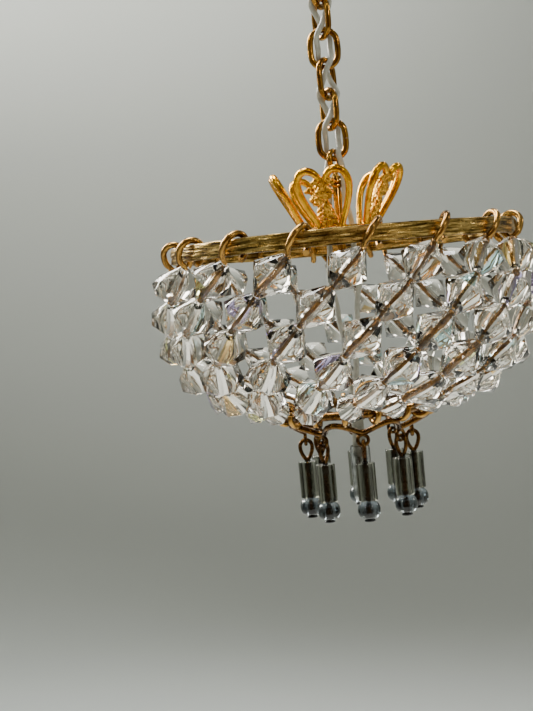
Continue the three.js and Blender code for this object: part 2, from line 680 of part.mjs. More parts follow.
// ---------------------------------------------------------------- bulb
function bulbGlass() {
  const inner = BULB_RADIUS - BULB_WALL;
  const round = RIM + BULB_BOTTOM + BULB_RADIUS;
  const outside = [];
  const inside = [];
  for (let i = 0; i <= 3; i += 1) {
    const angle = (i / 3) * (Math.PI / 2);
    outside.push([BULB_RADIUS * Math.sin(angle), round - BULB_RADIUS * Math.cos(angle)]);
    inside.push([inner * Math.sin(angle), round - inner * Math.cos(angle)]);
  }
  outside.push([BULB_RADIUS, RIM + BULB_TOP]);
  inside.push([inner, RIM + BULB_TOP]);
  return turned([...outside, ...inside.reverse()], 12);
}

function bulbFilament() {
  const top = RIM + SLEEVE_BOTTOM - GAP;
  const points = [
    new THREE.Vector3(-FILAMENT_SPREAD, 0, top),
    new THREE.Vector3(-FILAMENT_SPREAD, 0, top - FILAMENT_LEAD),
    new THREE.Vector3(0, 0, top - FILAMENT_DROP),
    new THREE.Vector3(FILAMENT_SPREAD, 0, top - FILAMENT_LEAD),
    new THREE.Vector3(FILAMENT_SPREAD, 0, top),
  ];
  return tube(points, FILAMENT_WIRE, 6, 10);
}

add('bulb_sleeve', post(SLEEVE_RADIUS, RIM + SLEEVE_TOP, RIM + SLEEVE_BOTTOM, 12), sleevePlastic);
add('bulb_glass', bulbGlass(), clearGlass);
add('bulb_filament', bulbFilament(), tungsten);

export default group;
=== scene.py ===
import math
import random

import bmesh
import bpy
from mathutils import Matrix, Quaternion, Vector, noise


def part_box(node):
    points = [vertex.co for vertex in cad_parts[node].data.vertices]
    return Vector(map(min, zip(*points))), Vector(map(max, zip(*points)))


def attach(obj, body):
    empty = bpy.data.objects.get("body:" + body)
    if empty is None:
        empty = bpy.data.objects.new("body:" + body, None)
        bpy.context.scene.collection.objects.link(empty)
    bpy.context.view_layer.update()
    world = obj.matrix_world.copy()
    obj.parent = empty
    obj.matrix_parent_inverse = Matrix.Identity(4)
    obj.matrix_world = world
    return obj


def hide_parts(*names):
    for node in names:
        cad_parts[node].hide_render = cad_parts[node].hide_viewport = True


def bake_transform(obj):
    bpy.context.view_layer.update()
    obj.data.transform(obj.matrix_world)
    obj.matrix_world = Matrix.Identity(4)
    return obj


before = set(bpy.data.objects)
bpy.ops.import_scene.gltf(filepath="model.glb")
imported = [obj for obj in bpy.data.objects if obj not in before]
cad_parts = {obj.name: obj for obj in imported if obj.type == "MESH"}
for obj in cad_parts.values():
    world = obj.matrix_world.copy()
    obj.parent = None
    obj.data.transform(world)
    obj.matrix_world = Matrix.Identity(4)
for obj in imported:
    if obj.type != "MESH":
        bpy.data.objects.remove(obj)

MM = 0.001
UP = Vector((0, 0, 1))
ALONG_Y = Vector((0, 1, 0))
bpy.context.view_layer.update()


def low(node):
    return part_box(node)[0] / MM


def high(node):
    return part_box(node)[1] / MM


def middle(node):
    return (low(node) + high(node)) / 2


# -------- sizes shared with the CAD source
GAP = 0.3  # clearance left between pieces that touch on the real object
RIM = middle("rim_ring").z
RIM_RADIUS = 24.0
RIM_HEIGHT = 2.2
RIM_THICKNESS = 1.0

NECK_RADIUS = 3.6  # flat underside of the canopy cup
NECK_HOLE_RADIUS = 2.3

CHAIN_WIRE = 0.45
LINK_HALF_WIDTH = 1.95
LINK_HALF_LENGTH = 2.7
LINK_COUNT = 6
LINK_TURN = 60
LINK_CLEARANCE = 0.2
LINK_PITCH = 2 * LINK_HALF_LENGTH - 2 * CHAIN_WIRE - LINK_CLEARANCE
HOOK_RADIUS = 1.7
HOOK_CENTRE = low("canopy_hook").z + CHAIN_WIRE + HOOK_RADIUS
EYE_RADIUS = 1.25
EYE_WIRE = 0.4
PIN_RADIUS = 0.6
EYE_CENTRE = RIM + 11.8

BALL_RADIUS = 1.7
BALL_BELOW_RIM = 4.7

FLEX_RADIUS = 0.4
FLEX_WIDE = 1.3  # distance from the chain's axis where two links meet
FLEX_NARROW = 0.85  # distance from the chain's axis inside a link
FLEX_START = 1.0  # below the top of the canopy cup
FLEX_START_AZIMUTH = 90  # degrees from +X towards +Y, as in all the flex's knots
FLEX_BESIDE_HOOK = 1.2  # distance from the axis
FLEX_HOOK_TURN = 6  # degrees turned beside the hook
FLEX_LAST_TURN = 30  # degrees turned between the last link and the centre pin's eye
FLEX_TO_LAMP = (  # heights from the rim and distances from the axis, from the eye down
    (6.8, 1.3), (2, 2.0), (-0.5, 2.0), (-BALL_BELOW_RIM, 2.45), (-10, 1.6), (-16, 0.7),
)
FLEX_AT_SLEEVE = 0.5  # distance from the axis

CROWN_PETALS = 5
CROWN_FIRST_PETAL = -13
CROWN_TILT = 27
CROWN_BASE_RADIUS = 5.9
CROWN_BASE_HOLE = 3.3
CROWN_THICKNESS = 0.9
HUB_TOP = 1.2  # top of the spider's hub, from the rim

STRAND_COUNT = 16
FIRST_STRAND = -16.5
STRAND_WIRE = 0.45
BOWL_RADIUS = 25.55
BOWL_MIDDLE = -8.6
BOWL_UPPER = (14.8, 2.6)
BOWL_LOWER = (16.2, 2.3)
STRAND_TOP = -1.9
BEADS = (  # down one strand: length along the wire, radius, lean from straight down in degrees
    (6.35, 3.0, 42),
    (6.35, 3.0, 46),
    (6.35, 3.0, 45),
    (6.35, 3.0, 38),
    (6.2, 2.75, 33),
    (4.4, 2.1, 27),
)
TOP_LOOP = {"height": 0.3, "wide": 1.45, "above": 1.4, "below": 2.1}
TOP_LEAN = 22  # degrees that the wire leans where it goes up to its loop
BOTTOM_LOOP = {"height": -23.9, "wide": 1.25, "above": 1.25, "below": 1.25}
BOTTOM_LOOP_WIRE = 0.4
LOOP_DRIFT = 2.2  # sideways room between the two ends of a top loop
RING_DRIFT = 1.0  # and of a bottom loop

RING_RADIUS = 10.4
RING_WIRE = 0.6
RING_HEIGHT = BOTTOM_LOOP["height"]

SCALLOPS = 8
SCALLOP_RADIUS = 9.0
SCALLOP_SWING = 1.3
SCALLOP_WIRE = 0.42
SCALLOP_HEIGHT = -25.95
SCALLOP_RISE = 0.7
EYELET_RADIUS = 0.75
EYELET_WIRE = 0.25
EYELET_BITE = 0.1  # how far an eyelet sinks into the scalloped ring's wire

LOOP_WIRE = 0.3
LOOP_HALF_WIDTH = 1.1
LOOP_HALF_HEIGHT = 1.4
LOOP_TAPER = 0.25  # share of its width that the loop gains at the top and loses below
LOOP_NECK = 0.25  # between the loop and the tube
TUBE_RADIUS = 1.35
TUBE_BORE = 0.5
TUBE_LENGTH = 5.4
SEED_RADIUS = 1.6
SEED_HEIGHT = 2.4
HEAD_RADIUS = 0.8
HEAD_HEIGHT = 0.35
HEAD_GAP = 0.1

SLEEVE_RADIUS = 1.0
BULB_RADIUS = 1.45
BULB_WALL = 0.22

# -------- camera
EYE = Vector((0, -191.3, RIM - 6.7))
AIM = Vector((-12.2, 0, RIM - 15.2))
ROLL = 5.3  # degrees; the chandelier hangs upright here, and the camera leans instead
LENS = 67.3  # millimetres on a sensor 36 mm along its longer side


def add_object(name, data):
    made = bpy.data.objects.new(name, data)
    bpy.context.scene.collection.objects.link(made)
    return made


def make_camera():
    camera = add_object("camera", bpy.data.cameras.new("camera"))
    camera.data.lens = LENS
    camera.data.clip_start = 0.005
    look = (AIM - EYE).to_track_quat("-Z", "Y")
    camera.rotation_mode = "QUATERNION"
    camera.rotation_quaternion = look @ Quaternion((0, 0, 1), math.radians(-ROLL))
    camera.location = EYE * MM
    bpy.context.scene.camera = camera


make_camera()


# -------- shapes
class Shell:
    """Corners and faces of one piece, with a material number for each face."""

    def __init__(self):
        self.corners = []
        self.faces = []
        self.numbers = []

    def add(self, corners, faces, number=0):
        first = len(self.corners)
        self.corners.extend(Vector(corner) for corner in corners)
        self.faces.extend([first + index for index in face] for face in faces)
        self.numbers.extend([number] * len(faces))
        return self

    def move(self, matrix):
        self.corners = [matrix @ corner for corner in self.corners]
        return self

    def join(self, other):
        first = len(self.corners)
        self.corners.extend(other.corners)
        self.faces.extend([first + index for index in face] for face in other.faces)
        self.numbers.extend(other.numbers)
        return self


def grid_faces(rows, columns, wrap_rows, wrap_columns):
    """Faces over rows of corners, where each row has the same number of columns."""
    faces = []
    for row in range(rows if wrap_rows else rows - 1):
        below = (row + 1) % rows
        for column in range(columns if wrap_columns else columns - 1):
            beside = (column + 1) % columns
            faces.append((
                row * columns + column, row * columns + beside,
                below * columns + beside, below * columns + column,
            ))
    return faces


def sweep(points, sizes, sides, closed=False, up=None, flat=1.0, number=0):
    """A round tube along points. With up, the section stays square to it, and flat squeezes it."""
    points = [Vector(point) for point in points]
    count = len(points)
    if not hasattr(sizes, "__len__"):
        sizes = [sizes] * count
    corners = []
    side = None
    for index, point in enumerate(points):
        after = points[(index + 1) % count] if closed else points[min(index + 1, count - 1)]
        before = points[index - 1] if closed else points[max(index - 1, 0)]
        along = (after - before).normalized()
        if up is not None:
            side = up.cross(along).normalized()
        else:
            side = along.orthogonal() if side is None else side
            side = (side - along * side.dot(along)).normalized()
        across = along.cross(side)
        for step in range(sides):
            angle = 2 * math.pi * step / sides
            reach = side * math.cos(angle) + across * math.sin(angle) * flat
            corners.append(point + reach * sizes[index])
    faces = grid_faces(count, sides, closed, True)
    shell = Shell().add(corners, faces, number)
    if not closed:
        shell.faces.append(list(range(sides)))
        shell.faces.append([(count - 1) * sides + step for step in reversed(range(sides))])
        shell.numbers.extend([number, number])
    return shell


def turned(profile, steps, number=0, closed=False):
    """A shape turned about the vertical axis from (radius, height) pairs."""
    corners = []
    for radius, height in profile:
        for step in range(steps):
            angle = 2 * math.pi * step / steps
            corners.append((radius * math.cos(angle), radius * math.sin(angle), height))
    faces = grid_faces(len(profile), steps, closed, True)
    return Shell().add(corners, faces, number)


def arc(centre, radius, start, end, steps):
    """(radius, height) pairs along part of a circle."""
    pairs = []
    for step in range(steps + 1):
        angle = math.radians(start + (end - start) * step / steps)
        pairs.append((centre[0] + radius * math.cos(angle), centre[1] + radius * math.sin(angle)))
    return pairs


def upright(pairs):
    """(x, height) pairs as places in the XZ plane."""
    return [Vector((x, 0, height)) for x, height in pairs]


def ball(centre, sizes, turn=0.0):
    """An ellipsoid with half-axes sizes, turned in the XZ plane by turn degrees."""
    shell = turned(arc((0, 0), 1, -90, 90, 6), 12)
    spin = Matrix.Rotation(math.radians(turn), 4, "Y")
    return shell.move(Matrix.Translation(centre) @ spin @ Matrix.Diagonal((*sizes, 1)))


def smooth_line(points, steps):
    """A Catmull-Rom line through points, with a number of steps for each span."""
    points = [Vector(point) for point in points]
    line = []
    for index in range(len(points) - 1):
        before = points[max(index - 1, 0)]
        start, end = points[index], points[index + 1]
        after = points[min(index + 2, len(points) - 1)]
        for step in range(steps):
            t = step / steps
            line.append(0.5 * (
                2 * start + (end - before) * t
                + (2 * before - 5 * start + 4 * end - after) * t * t
                + (3 * start - before - 3 * end + after) * t ** 3
            ))
    line.append(points[-1])
    return line


def outward(degrees):
    """Unit vector at an angle from the front, which is -Y; positive angles turn towards +X."""
    return Vector((math.sin(math.radians(degrees)), -math.cos(math.radians(degrees)), 0))


def sideways(degrees):
    return Vector((math.cos(math.radians(degrees)), math.sin(math.radians(degrees)), 0))


def at(degrees, radius, height):
    return outward(degrees) * radius + UP * height


def turn_z(degrees):
    return Matrix.Rotation(math.radians(degrees), 4, "Z")


# -------- pieces
def piece(name, shell, body, materials, nodes, sharp=40, flat_numbers=()):
    """A mesh object that stands for CAD nodes, and rides a body unless that is None."""
    mesh = bpy.data.meshes.new(name)
    mesh.from_pydata([corner * MM for corner in shell.corners], [], shell.faces)
    for material in materials:
        mesh.materials.append(material)
    mesh.polygons.foreach_set("material_index", shell.numbers)
    work = bmesh.new()
    work.from_mesh(mesh)
    bmesh.ops.remove_doubles(work, verts=work.verts, dist=1e-8)
    bmesh.ops.recalc_face_normals(work, faces=work.faces)
    for face in work.faces:
        face.smooth = face.material_index not in flat_numbers
    work.to_mesh(mesh)
    work.free()
    mesh.set_sharp_from_angle(angle=math.radians(sharp))
    made = add_object(name, mesh)
    if body is not None:
        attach(made, body)
    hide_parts(*nodes)
    return made


def fused(name, shell, body, materials, nodes, voxel, rounds):
    """A piece whose overlapping parts are melted into one skin, as in a casting."""
    mesh = bpy.data.meshes.new(name)
    mesh.from_pydata(shell.corners, [], shell.faces)
    made = add_object(name, mesh)
    remesh = made.modifiers.new("melt", "REMESH")
    remesh.mode = "VOXEL"
    remesh.voxel_size = voxel
    soften = made.modifiers.new("soften", "SMOOTH")
    soften.iterations = rounds
    graph = bpy.context.evaluated_depsgraph_get()
    done = bpy.data.meshes.new_from_object(made.evaluated_get(graph))
    made.modifiers.clear()
    made.data = done
    done.transform(Matrix.Diagonal((MM, MM, MM, 1)))
    done.materials.clear()
    for material in materials:
        done.materials.append(material)
    done.shade_smooth()
    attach(made, body)
    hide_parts(*nodes)


# -------- materials
class Paint:
    """A node material around one Principled shader."""

    def __init__(self, name, **numbers):
        self.material = bpy.data.materials.new(name)
        self.material.use_nodes = True
        self.nodes = self.material.node_tree.nodes
        self.links = self.material.node_tree.links
        self.shader = self.nodes["Principled BSDF"]
        self.place = self.nodes.new("ShaderNodeTexCoord").outputs["Object"]
        for socket, value in numbers.items():
            self.shader.inputs[socket.replace("_", " ")].default_value = value

    def scaled(self, x, y, z):
        """Places stretched by a factor along each axis."""
        node = self.nodes.new("ShaderNodeMapping")
        node.inputs["Scale"].default_value = (x, y, z)
        self.links.new(self.place, node.inputs["Vector"])
        return node.outputs["Vector"]

    def noise(self, density, detail=3.0, place=None):
        """Noise with density features per millimetre, or per unit of the place that is given."""
        node = self.nodes.new("ShaderNodeTexNoise")
        node.inputs["Scale"].default_value = density / MM if place is None else density
        node.inputs["Detail"].default_value = detail
        self.links.new(place or self.place, node.inputs["Vector"])
        return node.outputs["Fac"]

    def ramp(self, value, *stops):
        """A colour for each value, between (position, colour) stops."""
        node = self.nodes.new("ShaderNodeValToRGB")
        band = node.color_ramp
        while len(band.elements) < len(stops):
            band.elements.new(0.5)
        for element, (position, colour) in zip(band.elements, stops):
            element.position = position
            element.color = (*colour, 1)
        self.links.new(value, node.inputs["Fac"])
        return node.outputs["Color"]

    def span(self, value, lowest, highest):
        """The usual range of noise, mapped to a range from lowest to highest."""
        node = self.nodes.new("ShaderNodeMapRange")
        node.inputs["From Min"].default_value = 0.3
        node.inputs["From Max"].default_value = 0.7
        node.inputs["To Min"].default_value = lowest
        node.inputs["To Max"].default_value = highest
        self.links.new(value, node.inputs["Value"])
        return node.outputs["Result"]

    def set(self, socket, output):
        self.links.new(output, self.shader.inputs[socket])

    def bump(self, height, depth):
        """Shading as if the surface rose and fell by depth millimetres."""
        node = self.nodes.new("ShaderNodeBump")
        node.inputs["Distance"].default_value = depth * MM
        node.inputs["Strength"].default_value = 1.0
        self.links.new(height, node.inputs["Height"])
        self.set("Normal", node.outputs["Normal"])


def gold(name, bright, dark, roughness, patches=0.4, grain=3.0, depth=0.02):
    """Plated metal: the colour drifts between two tones, and fine grain breaks up its shine."""
    paint = Paint(name, Metallic=1.0)
    drift = paint.noise(patches)
    fine = paint.noise(grain)
    paint.set("Base Color", paint.ramp(drift, (0.35, dark), (0.6, bright)))
    paint.set("Roughness", paint.span(fine, roughness * 0.7, roughness * 1.4))
    paint.bump(fine, depth)
    return paint.material


def rim_metal():
    """Old gold with streaks that run round the band."""
    paint = Paint("rim_metal", Metallic=1.0)
    streaks = paint.noise(1.0, 4.0, paint.scaled(350, 350, 3800))
    speck = paint.noise(4.5, 2.0)
    paint.set("Base Color", paint.ramp(
        streaks, (0.34, (0.05, 0.028, 0.006)), (0.5, (0.30, 0.19, 0.045)), (0.68, (0.85, 0.60, 0.21)),
    ))
    paint.set("Roughness", paint.span(speck, 0.18, 0.5))
    paint.bump(streaks, 0.10)
    return paint.material


def crystal_glass():
    """Cut glass that takes the colour of each facet, its pale tint and its painted glints, from the mesh.
    """
    paint = Paint("crystal_glass", Transmission_Weight=1.0, IOR=1.56)
    tint_and_glints = paint.nodes.new("ShaderNodeAttribute")
    tint_and_glints.attribute_name = "tint_and_glints"
    paint.set("Base Color", tint_and_glints.outputs["Color"])
    paint.set("Roughness", paint.span(paint.noise(1.5), 0.0, 0.03))
    return paint.material


def glass(name, colour, lowest, highest, ior=1.5, streaks=None):
    """Clear or tinted glass: lowest and highest are roughness, and streaks stretch its tint."""
    paint = Paint(name, Transmission_Weight=1.0, IOR=ior)
    place = paint.scaled(*streaks) if streaks else None
    drift = paint.noise(1.0, 3.0, place) if streaks else paint.noise(0.8)
    darker = tuple(part * 0.6 for part in colour)
    paint.set("Base Color", paint.ramp(drift, (0.35, darker), (0.6, colour)))
    paint.set("Roughness", paint.span(drift, lowest, highest))
    return paint.material


def plastic(name, light, shade, roughness, grain=1.2, depth=0.01, coat=0.0):
    """A slightly uneven surface that drifts between two tones."""
    paint = Paint(name, Coat_Weight=coat)
    drift = paint.noise(grain)
    paint.set("Base Color", paint.ramp(drift, (0.35, shade), (0.65, light)))
    paint.set("Roughness", paint.span(drift, roughness * 0.8, roughness * 1.2))
    paint.bump(drift, depth)
    return paint.material


CANOPY_GOLD = gold("canopy_metal", (0.83, 0.60, 0.24), (0.66, 0.43, 0.14), 0.26)
CHAIN_GOLD = gold("chain_metal", (0.50, 0.26, 0.045), (0.22, 0.10, 0.02), 0.13, depth=0.012)
CROWN_GOLD = gold("crown_metal", (0.88, 0.46, 0.025), (0.62, 0.27, 0.012), 0.2, 0.7, 2.5, 0.04)
CARVED_GOLD = gold("carved_metal", (0.90, 0.50, 0.06), (0.38, 0.16, 0.015), 0.22, 1.6, 3.5, 0.12)
DARK_GOLD = gold("dark_metal", (0.17, 0.085, 0.02), (0.05, 0.02, 0.006), 0.24, 0.8, 3.0, 0.03)
WIRE_GOLD = gold("wire_metal", (0.50, 0.28, 0.07), (0.22, 0.11, 0.028), 0.2, 0.5, 2.5, 0.012)
CORE_COPPER = gold("core_metal", (0.40, 0.22, 0.07), (0.22, 0.11, 0.03), 0.3)
RIM_GOLD = rim_metal()
CRYSTAL = crystal_glass()
BORE_GLASS = glass("bore_glass", (0.95, 0.92, 0.88), 0.02, 0.12, 1.56)
SMOKY_GLASS = glass("smoky_glass_tube", (0.44, 0.45, 0.38), 0.02, 0.08, 1.5, (900, 900, 60))
SEED_GLASS = glass("smoky_glass_bead", (0.17, 0.20, 0.22), 0.02, 0.10)
BULB_GLASS = glass("bulb_clear_glass", (0.97, 0.98, 0.98), 0.0, 0.02, 1.47)
GLUE = plastic("glue_black", (0.012, 0.013, 0.016), (0.004, 0.004, 0.005), 0.15, coat=0.5)
FLEX_WHITE = plastic("flex_white", (0.56, 0.56, 0.49), (0.44, 0.44, 0.38), 0.4, coat=0.2)
SLEEVE_GREY = plastic("sleeve_grey", (0.34, 0.34, 0.28), (0.24, 0.24, 0.19), 0.5, 1.5, 0.03)
LEAD_METAL = gold("lead_metal", (0.30, 0.30, 0.30), (0.05, 0.05, 0.05), 0.3)


# -------- lighting flex
def flex_knots():
    """(height, distance from the chain's axis, azimuth), as in the CAD source."""
    start = FLEX_START_AZIMUTH
    first_meeting = HOOK_CENTRE - HOOK_RADIUS + CHAIN_WIRE + LINK_CLEARANCE / 2
    turn = 180 - LINK_TURN
    knots = [
        (high("canopy_cup").z - FLEX_START, FLEX_WIDE, start),
        (HOOK_CENTRE + HOOK_RADIUS, FLEX_BESIDE_HOOK, start),
        (HOOK_CENTRE, FLEX_BESIDE_HOOK, start + FLEX_HOOK_TURN),
    ]
    for index in range(LINK_COUNT + 1):
        height = first_meeting - index * LINK_PITCH
        azimuth = turn - turn * index
        knots.append((height, FLEX_WIDE, azimuth))
        if index < LINK_COUNT:
            knots.append((height - LINK_PITCH / 2, FLEX_NARROW, azimuth - turn / 2))
    last = turn - turn * LINK_COUNT + FLEX_LAST_TURN
    knots.append((EYE_CENTRE - EYE_RADIUS, FLEX_WIDE, last))
    for height, reach in FLEX_TO_LAMP:
        knots.append((RIM + height, reach, last))
    knots.append((high("bulb_sleeve").z + GAP, FLEX_AT_SLEEVE, last))
    return knots


FLEX_KNOTS = flex_knots()
FLEX_STEP = 0.25  # length of one step along a core


def flex_point(height, side):
    """A core's place at a height; side is 0 or 180 degrees round the chain's axis."""
    upper = 0
    while upper < len(FLEX_KNOTS) - 2 and FLEX_KNOTS[upper + 1][0] > height:
        upper += 1
    top_height, top_reach, top_turn = FLEX_KNOTS[upper]
    low_height, low_reach, low_turn = FLEX_KNOTS[upper + 1]
    share = (top_height - height) / (top_height - low_height)
    eased = share * share * (3 - 2 * share)
    reach = top_reach + (low_reach - top_reach) * eased
    angle = math.radians(top_turn + (low_turn - top_turn) * share + side)
    return Vector((reach * math.cos(angle), reach * math.sin(angle), height))


def make_flex():
    """Two cores, each in three lengths."""
    top_end, bottom_end = FLEX_KNOTS[0][0], FLEX_KNOTS[-1][0]
    first_cut, second_cut = middle("chain_link_3").z, middle("chain_link_6").z
    lengths = (  # name, ends, bodies, node it swings from, half the stretch that bends, CAD stretches
        ("upper", top_end, first_cut, "ceiling_canopy", "chain", "canopy_hook", 1.6, ("canopy", "chain")),
        ("middle", first_cut, second_cut, "chain", "bottom_link", "chain_link_5", 1.6, ("chain", "link")),
        ("lower", second_cut, bottom_end, "bottom_link", "fixture", "chain_link_6", 1.2, ("link", "lamp")),
    )
    for core, side in (("a", 0), ("b", 180)):
        for name, top, bottom, above, below, hanger, reach, stretches in lengths:
            steps = round((top - bottom) / FLEX_STEP)
            line = [flex_point(top + (bottom - top) * step / steps, side) for step in range(steps + 1)]
            nodes = [f"flex_{core}_{stretch}" for stretch in stretches]
            made = piece(
                f"flex_{core}_{name}", sweep(line, FLEX_RADIUS, 12), None,
                [FLEX_WHITE], nodes,
            )
            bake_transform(made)


make_flex()


# -------- ceiling canopy
PLATE_TOP_EDGE = 0.15  # roundings of the plate's edges and of the cup's flat underside
PLATE_LOW_EDGE = 0.3
NECK_ROUND = 0.35
CUP_LIP = 0.42  # rolled edge at the top of the cup
CUP_WALL = 0.7
CUP_SWELL = 0.85  # the side of the cup is an ellipse where this is 1, and fuller where it is less
HOOK_START = 12  # degrees past the top of the hook's ring, where the shank bends into it


def cup_side(low_end, high_end, start, end, steps):
    """(radius, height) pairs along the side of the cup, from start to end degrees of its curve."""
    pairs = []
    for step in range(steps + 1):
        angle = math.radians(start + (end - start) * step / steps)
        pairs.append((
            low_end[0] + (high_end[0] - low_end[0]) * math.sin(angle),
            high_end[1] + (low_end[1] - high_end[1]) * math.cos(angle) ** CUP_SWELL,
        ))
    return pairs


def make_plate():
    bottom = low("ceiling_plate").z
    radius = high("ceiling_plate").x
    plate = turned([
        (0, 0), (radius - PLATE_TOP_EDGE, 0),
        *arc((radius - PLATE_TOP_EDGE, -PLATE_TOP_EDGE), PLATE_TOP_EDGE, 90, 0, 3),
        (radius, bottom + 1.5 * PLATE_LOW_EDGE),
        *arc((radius - PLATE_LOW_EDGE, bottom + PLATE_LOW_EDGE), PLATE_LOW_EDGE, 0, -90, 4),
        (radius - 3 * PLATE_LOW_EDGE, bottom), (0, bottom),
    ], 96)
    piece("ceiling_plate_turned", plate, "ceiling_canopy", [CANOPY_GOLD], ["ceiling_plate"])


def make_cup():
    top, bottom = high("canopy_cup").z, low("canopy_cup").z
    rim, neck, hole = high("canopy_cup").y, NECK_RADIUS, NECK_HOLE_RADIUS
    round_height = bottom + NECK_ROUND
    outer = [
        (hole, round_height), *arc((hole + NECK_ROUND, round_height), NECK_ROUND, 180, 270, 4),
        (neck - 0.2, bottom), *arc((neck - 0.1, round_height), NECK_ROUND, -90, 0, 4),
        (neck + 0.1, bottom + 0.75),
    ]
    outer += cup_side((neck, bottom + 0.3), (rim - 0.55, top - 0.9), 12, 78, 12)
    outer += arc((rim - CUP_LIP, top - CUP_LIP - 0.2), CUP_LIP, -80, 80, 8)
    outer += [(rim - 0.7, top - 0.02), (rim - 0.9, top - 0.3)]
    inner = cup_side((neck - 0.2, bottom + CUP_WALL), (rim - 1.1, top - 0.5), 84, 0, 11)
    cup = turned([*outer, *inner, (hole, bottom + CUP_WALL)], 96, closed=True)
    piece("canopy_cup_turned", cup, "ceiling_canopy", [CANOPY_GOLD], ["canopy_cup"])


def make_hook():
    """A wire hook: a ring below, a short shank, and a cross bar that lies in the cup."""
    bar = high("canopy_hook").z - CHAIN_WIRE
    half = high("canopy_hook").x
    ring = upright(arc((0, HOOK_CENTRE), HOOK_RADIUS, 90 - HOOK_START, -270, 58))
    ring_top = HOOK_CENTRE + HOOK_RADIUS
    bend = ring[0].lerp(Vector((0, 0, ring_top + 0.4)), 0.5)
    shank = smooth_line([(0, 0, bar), (0, 0, ring_top + 0.75), bend, ring[0]], 4)
    hook = sweep(shank[:-1] + ring, CHAIN_WIRE * 0.97, 12)
    hook.join(sweep([(-half, 0, bar), (half, 0, bar)], CHAIN_WIRE, 12))
    piece("canopy_hook_bent", hook, "ceiling_canopy", [CHAIN_GOLD], ["canopy_hook"])


make_plate()
make_cup()
make_hook()


# -------- chain
LINK_SEAM = 0.3  # degrees from the middle of a leg to each end of the link's wire
LINK_LEG = 0.35  # share of the round's half-width, up and down, that is drawn out into a leg
LINK_FLAT = 0.94  # one width of the wire, as a share of the other


def link_line(steps):
    """A chain link's centreline in the XZ plane, from one side of its seam to the other."""
    line = []
    stretch = LINK_HALF_LENGTH - LINK_HALF_WIDTH
    for step in range(steps + 1):
        angle = math.radians(LINK_SEAM + (360 - 2 * LINK_SEAM) * step / steps)
        x = LINK_HALF_WIDTH * math.cos(angle)
        z = LINK_HALF_WIDTH * math.sin(angle)
        z += stretch * max(-1, min(1, z / (LINK_LEG * LINK_HALF_WIDTH)))
        line.append(Vector((x, 0, z)))
    return line


def make_chain():
    for index in range(1, LINK_COUNT + 1):
        node = f"chain_link_{index}"
        link = sweep(link_line(64), CHAIN_WIRE, 14, up=ALONG_Y, flat=LINK_FLAT)
        link.move(Matrix.Translation((0, 0, middle(node).z)) @ turn_z(LINK_TURN * index))
        body = "bottom_link" if index == LINK_COUNT else "chain"
        piece(f"link_{index}", link, body, [CHAIN_GOLD], [node])


make_chain()


# -------- centre pin and ball
EYE_START = -74  # degrees round the eye, where its wire leaves the stem
EYE_TURN = 330
STEM_SHOULDER = 0.7  # from the eye down to the top of the post
WRAP_COUNT = 2  # turns of the eye's wire round the post
WRAP_PITCH = 0.62
WRAP_WIRE = 0.28
WRAP_RADIUS = PIN_RADIUS + 0.12
WRAP_TOP = 1.3  # from the eye down to the first turn
SOCKET_RADIUS = 0.75  # hole in the ball for the pin


def make_pin():
    neck = EYE_CENTRE - EYE_RADIUS
    loop = upright(arc((0, EYE_CENTRE), EYE_RADIUS, EYE_START, EYE_START + EYE_TURN, 40))
    stem = smooth_line([(0, 0, neck - 1.6), (0.05, 0, neck - STEM_SHOULDER), loop[0]], 5)[:-1]
    thick = 4  # points of the stem that lie inside the post
    sizes = [PIN_RADIUS * 0.8] * thick + [EYE_WIRE] * (len(stem) + len(loop) - thick)
    eye = sweep(stem + loop, sizes, 12)
    eye.move(turn_z(LINK_TURN * (LINK_COUNT + 1)))
    end = low("centre_pin").z
    post = turned([
        (0, neck - STEM_SHOULDER), (PIN_RADIUS * 0.75, neck - STEM_SHOULDER - 0.1),
        (PIN_RADIUS, neck - STEM_SHOULDER - 0.5), (PIN_RADIUS, end), (0, end),
    ], 24)
    for turn in range(WRAP_COUNT):
        wrap = []
        for degrees in range(0, 361, 20):
            angle = math.radians(degrees)
            height = neck - WRAP_TOP - WRAP_PITCH * (turn + degrees / 360)
            wrap.append(Vector((WRAP_RADIUS * math.cos(angle), WRAP_RADIUS * math.sin(angle), height)))
        eye.join(sweep(wrap, WRAP_WIRE, 8))
    piece("centre_pin_bent", eye.join(post), "fixture", [CHAIN_GOLD], ["centre_pin"])


def make_pin_ball():
    centre = RIM - BALL_BELOW_RIM
    profile = arc((0, centre), BALL_RADIUS, -90, 58, 24)
    profile += [(SOCKET_RADIUS, centre + 1.3), (SOCKET_RADIUS, centre), (0, centre)]
    piece("pin_ball_polished", turned(profile, 48), "fixture", [CROWN_GOLD], ["pin_ball"])


make_pin()
make_pin_ball()


